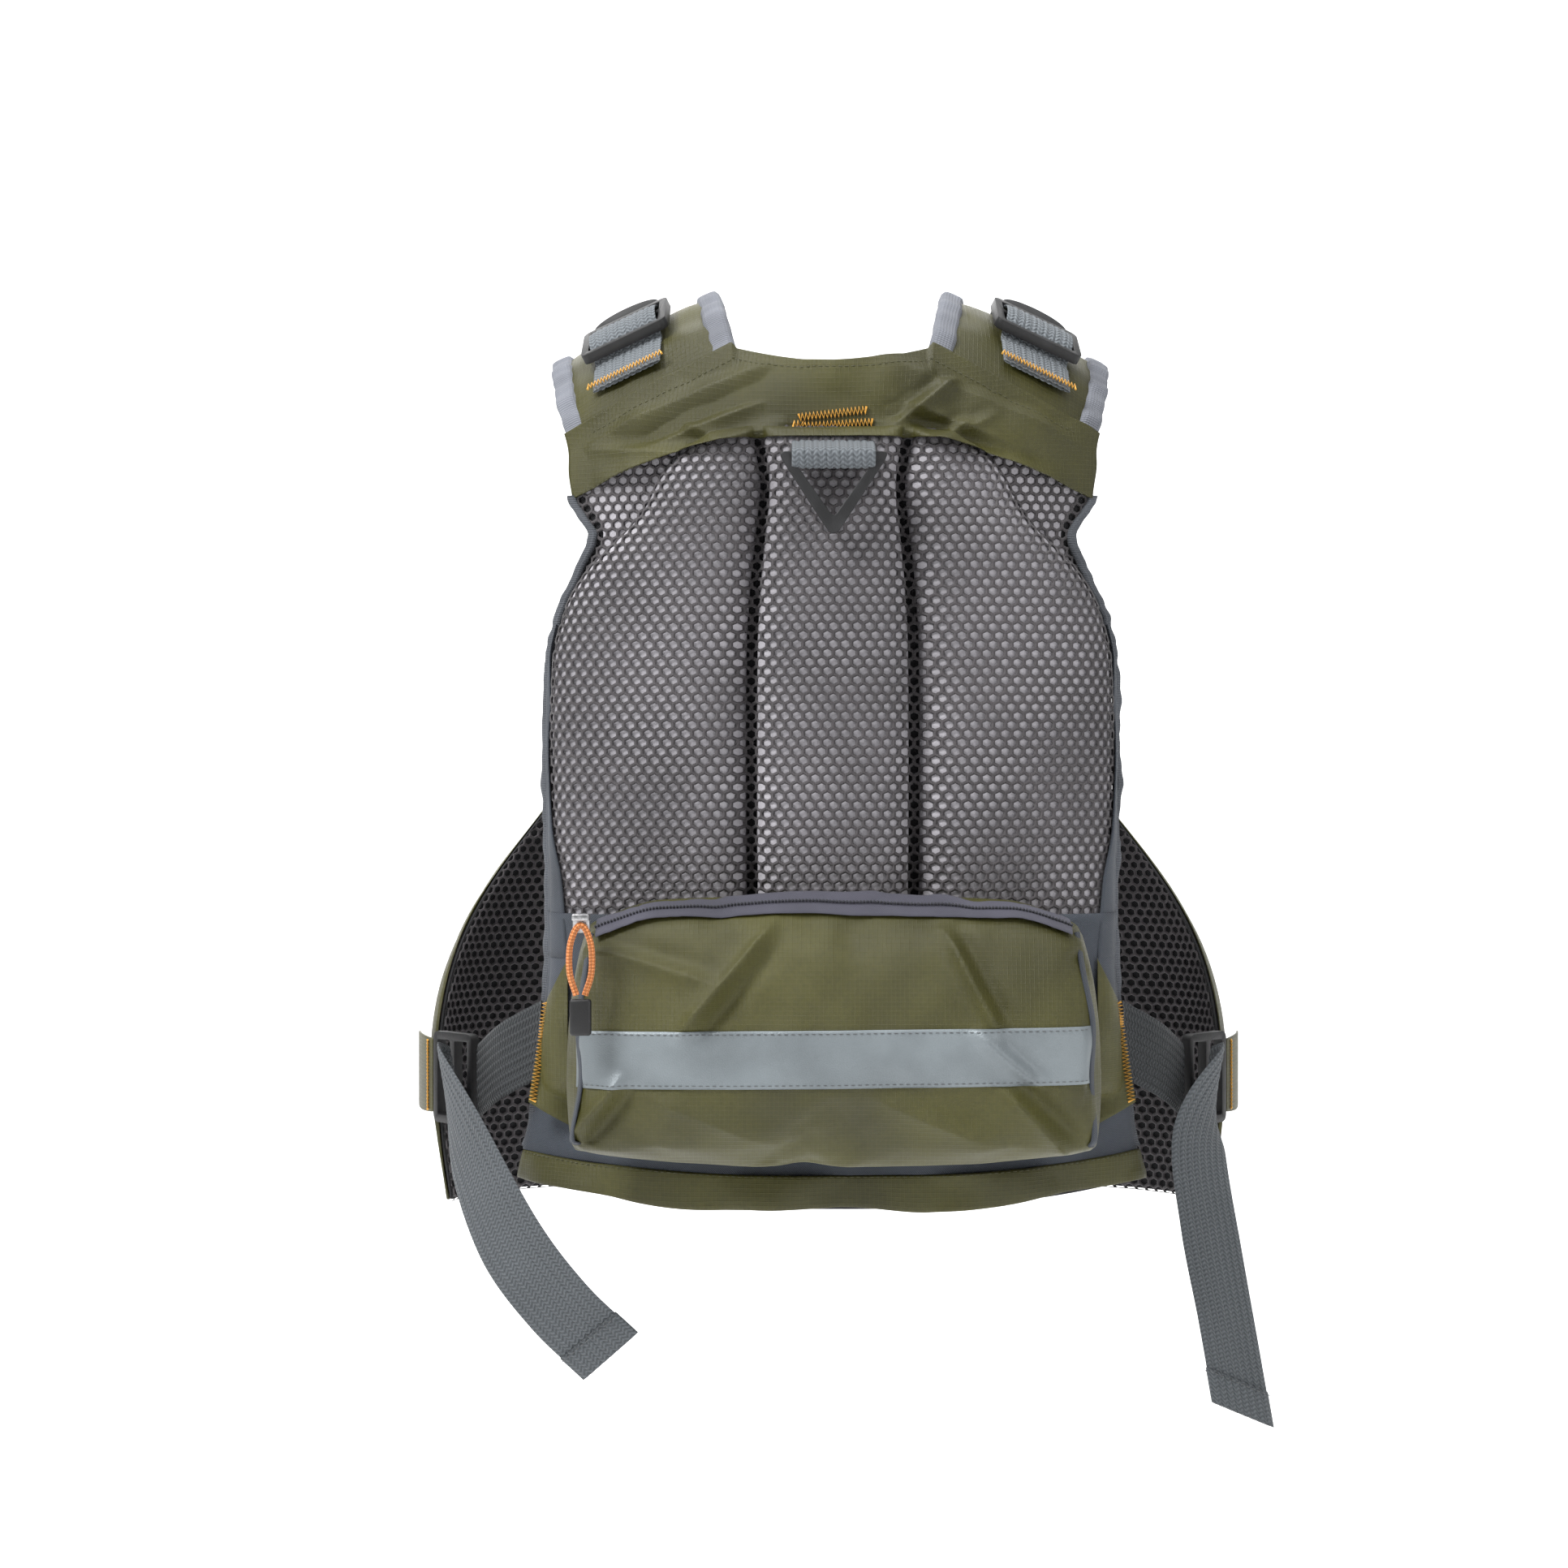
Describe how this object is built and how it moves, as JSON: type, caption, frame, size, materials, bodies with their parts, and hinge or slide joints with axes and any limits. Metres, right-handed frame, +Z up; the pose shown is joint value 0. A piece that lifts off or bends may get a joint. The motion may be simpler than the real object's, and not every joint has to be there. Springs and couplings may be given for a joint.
{
  "type": "fishing vest",
  "caption": "Flotation fishing vest with a mesh back over foam, two front halves, shoulder and side strap adjusters, a zipped back pouch and front pockets.",
  "frame": {"origin": "the top of the shoulders at the neck, where the wearer carries the vest", "axes": "+X is the wearer's left, +Y is behind the wearer, +Z is up"},
  "size_m": [0.4378, 0.3497, 0.5693],
  "materials": {
    "olive_ripstop": "woven ripstop, soft sheen",
    "slate_nylon": "plain woven nylon",
    "spacer_mesh": "open knitted mesh",
    "buoyancy_foam": "matt closed-cell foam",
    "binding_tape": "folded grosgrain",
    "webbing": "ribbed polyester webbing",
    "reflective_tape": "retro-reflective tape",
    "black_plastic": "satin moulded acetal",
    "zip_metal": "plated zinc",
    "orange_cord": "braided cord",
    "orange_thread": "polyester thread"
  },
  "bodies": {
    "root": {"back_lining": "spacer_mesh", "back_foam_right": "buoyancy_foam", "back_foam_centre": "buoyancy_foam", "back_foam_left": "buoyancy_foam", "back_mesh": "spacer_mesh", "back_yoke": "olive_ripstop", "back_base_panel": "slate_nylon", "hem_band": "olive_ripstop", "side_strip_right": "slate_nylon", "side_strip_left": "slate_nylon", "back_pouch": "olive_ripstop", "pouch_zip_tape": "slate_nylon", "reflective_strip": "reflective_tape", "ring_tab": "webbing", "armhole_binding_left": "binding_tape", "shoulder_pad_left": "olive_ripstop", "shoulder_web_left": "webbing", "yoke_web_left": "webbing", "back_wing_left": "olive_ripstop", "side_web_left": "webbing", "armhole_binding_right": "binding_tape", "shoulder_pad_right": "olive_ripstop", "shoulder_web_right": "webbing", "yoke_web_right": "webbing", "back_wing_right": "olive_ripstop", "side_web_right": "webbing"},
    "pouch_slider": {"pouch_zip_slider": "zip_metal"},
    "pouch_pull": {"pouch_pull_cord": "orange_cord", "pouch_pull_end": "black_plastic"},
    "net_ring": {"triangle_ring": "black_plastic"},
    "shoulder_lock_left": {"shoulder_lock_left": "black_plastic"},
    "strap_tail_left": {"strap_tail_left": "webbing"},
    "front_left": {"front_lining_left": "spacer_mesh", "front_foam_left": "buoyancy_foam", "front_shell_left": "olive_ripstop", "chest_pocket_left": "olive_ripstop", "lower_pocket_left": "olive_ripstop", "front_zip_left": "slate_nylon", "front_wing_left": "olive_ripstop"},
    "chest_flap_left": {"chest_flap_left": "olive_ripstop"},
    "lower_pocket_slider_left": {"lower_pocket_slider_left": "zip_metal"},
    "side_lock_left": {"side_lock_left": "black_plastic"},
    "shoulder_lock_right": {"shoulder_lock_right": "black_plastic"},
    "strap_tail_right": {"strap_tail_right": "webbing"},
    "front_right": {"front_lining_right": "spacer_mesh", "front_foam_right": "buoyancy_foam", "front_shell_right": "olive_ripstop", "chest_pocket_right": "olive_ripstop", "lower_pocket_right": "olive_ripstop", "front_zip_right": "slate_nylon", "front_wing_right": "olive_ripstop"},
    "chest_flap_right": {"chest_flap_right": "olive_ripstop"},
    "lower_pocket_slider_right": {"lower_pocket_slider_right": "zip_metal"},
    "side_lock_right": {"side_lock_right": "black_plastic"},
    "front_zip_slider": {"front_zip_slider": "zip_metal"},
    "front_zip_pull": {"front_zip_pull": "black_plastic"}
  },
  "joints": [
    {"name": "front_left_open", "type": "hinge", "parent": "root", "child": "front_left", "pos_m": [0.192, 0.03, -0.376], "axis": [-0.2336, -0.1243, 0.9644], "range_deg": [0, 70], "deforming": ["shoulder_pad_left", "shoulder_web_left", "side_web_left"]},
    {"name": "front_right_open", "type": "hinge", "parent": "root", "child": "front_right", "pos_m": [-0.192, 0.03, -0.376], "axis": [-0.2336, 0.1243, -0.9644], "range_deg": [0, 70], "deforming": ["shoulder_pad_right", "shoulder_web_right", "side_web_right"]},
    {"name": "net_ring_swing", "type": "hinge", "parent": "root", "child": "net_ring", "pos_m": [0, 0.1439, -0.069], "axis": [1, 0, 0], "range_deg": [0, 110]},
    {"name": "pouch_zip_slide", "type": "slide", "parent": "root", "child": "pouch_slider", "axis": [-1, 0, 0], "range_m": [0, 0.226]},
    {"name": "pouch_pull_swing", "type": "hinge", "parent": "pouch_slider", "child": "pouch_pull", "pos_m": [0.118, 0.1864, -0.28884], "axis": [0, 1, 0], "range_deg": [-35, 35]},
    {"name": "shoulder_lock_left_tilt", "type": "hinge", "parent": "root", "child": "shoulder_lock_left", "pos_m": [0.1034, 0.07079, -0.00324], "axis": [-0.9017, 0.1721, 0.3967], "range_deg": [0, 40]},
    {"name": "shoulder_lock_right_tilt", "type": "hinge", "parent": "root", "child": "shoulder_lock_right", "pos_m": [-0.1034, 0.07079, -0.00324], "axis": [-0.9017, -0.1721, -0.3967], "range_deg": [0, 40]},
    {"name": "side_lock_left_tilt", "type": "hinge", "parent": "front_left", "child": "side_lock_left", "pos_m": [0.20192, 0.01744, -0.376], "axis": [0, 0, -1], "range_deg": [0, 18]},
    {"name": "side_lock_right_tilt", "type": "hinge", "parent": "front_right", "child": "side_lock_right", "pos_m": [-0.20192, 0.01744, -0.376], "axis": [0, 0, 1], "range_deg": [0, 18]},
    {"name": "strap_tail_left_swing", "type": "hinge", "parent": "root", "child": "strap_tail_left", "pos_m": [0.19937, 0.04729, -0.376], "axis": [0, 0, -1], "range_deg": [0, 45]},
    {"name": "strap_tail_right_swing", "type": "hinge", "parent": "root", "child": "strap_tail_right", "pos_m": [-0.19937, 0.04729, -0.376], "axis": [0, 0, 1], "range_deg": [0, 45]},
    {"name": "chest_flap_left_lift", "type": "hinge", "parent": "front_left", "child": "chest_flap_left", "pos_m": [0.059, -0.1529, -0.125], "axis": [-1, 0, 0], "range_deg": [0, 150]},
    {"name": "chest_flap_right_lift", "type": "hinge", "parent": "front_right", "child": "chest_flap_right", "pos_m": [-0.059, -0.1529, -0.125], "axis": [-1, 0, 0], "range_deg": [0, 150]},
    {"name": "lower_pocket_left_slide", "type": "slide", "parent": "front_left", "child": "lower_pocket_slider_left", "axis": [-0.9806, -0.1961, 0], "range_m": [0, 0.1]},
    {"name": "lower_pocket_right_slide", "type": "slide", "parent": "front_right", "child": "lower_pocket_slider_right", "axis": [0.9806, -0.1961, 0], "range_m": [0, 0.1]},
    {"name": "front_zip_slide", "type": "slide", "parent": "front_left", "child": "front_zip_slider", "axis": [0, 0, 1], "range_m": [0, 0.305]},
    {"name": "front_pull_swing", "type": "hinge", "parent": "front_zip_slider", "child": "front_zip_pull", "pos_m": [0.0048, -0.121, -0.43], "axis": [-1, 0, 0], "range_deg": [0, 90]}
  ]
}
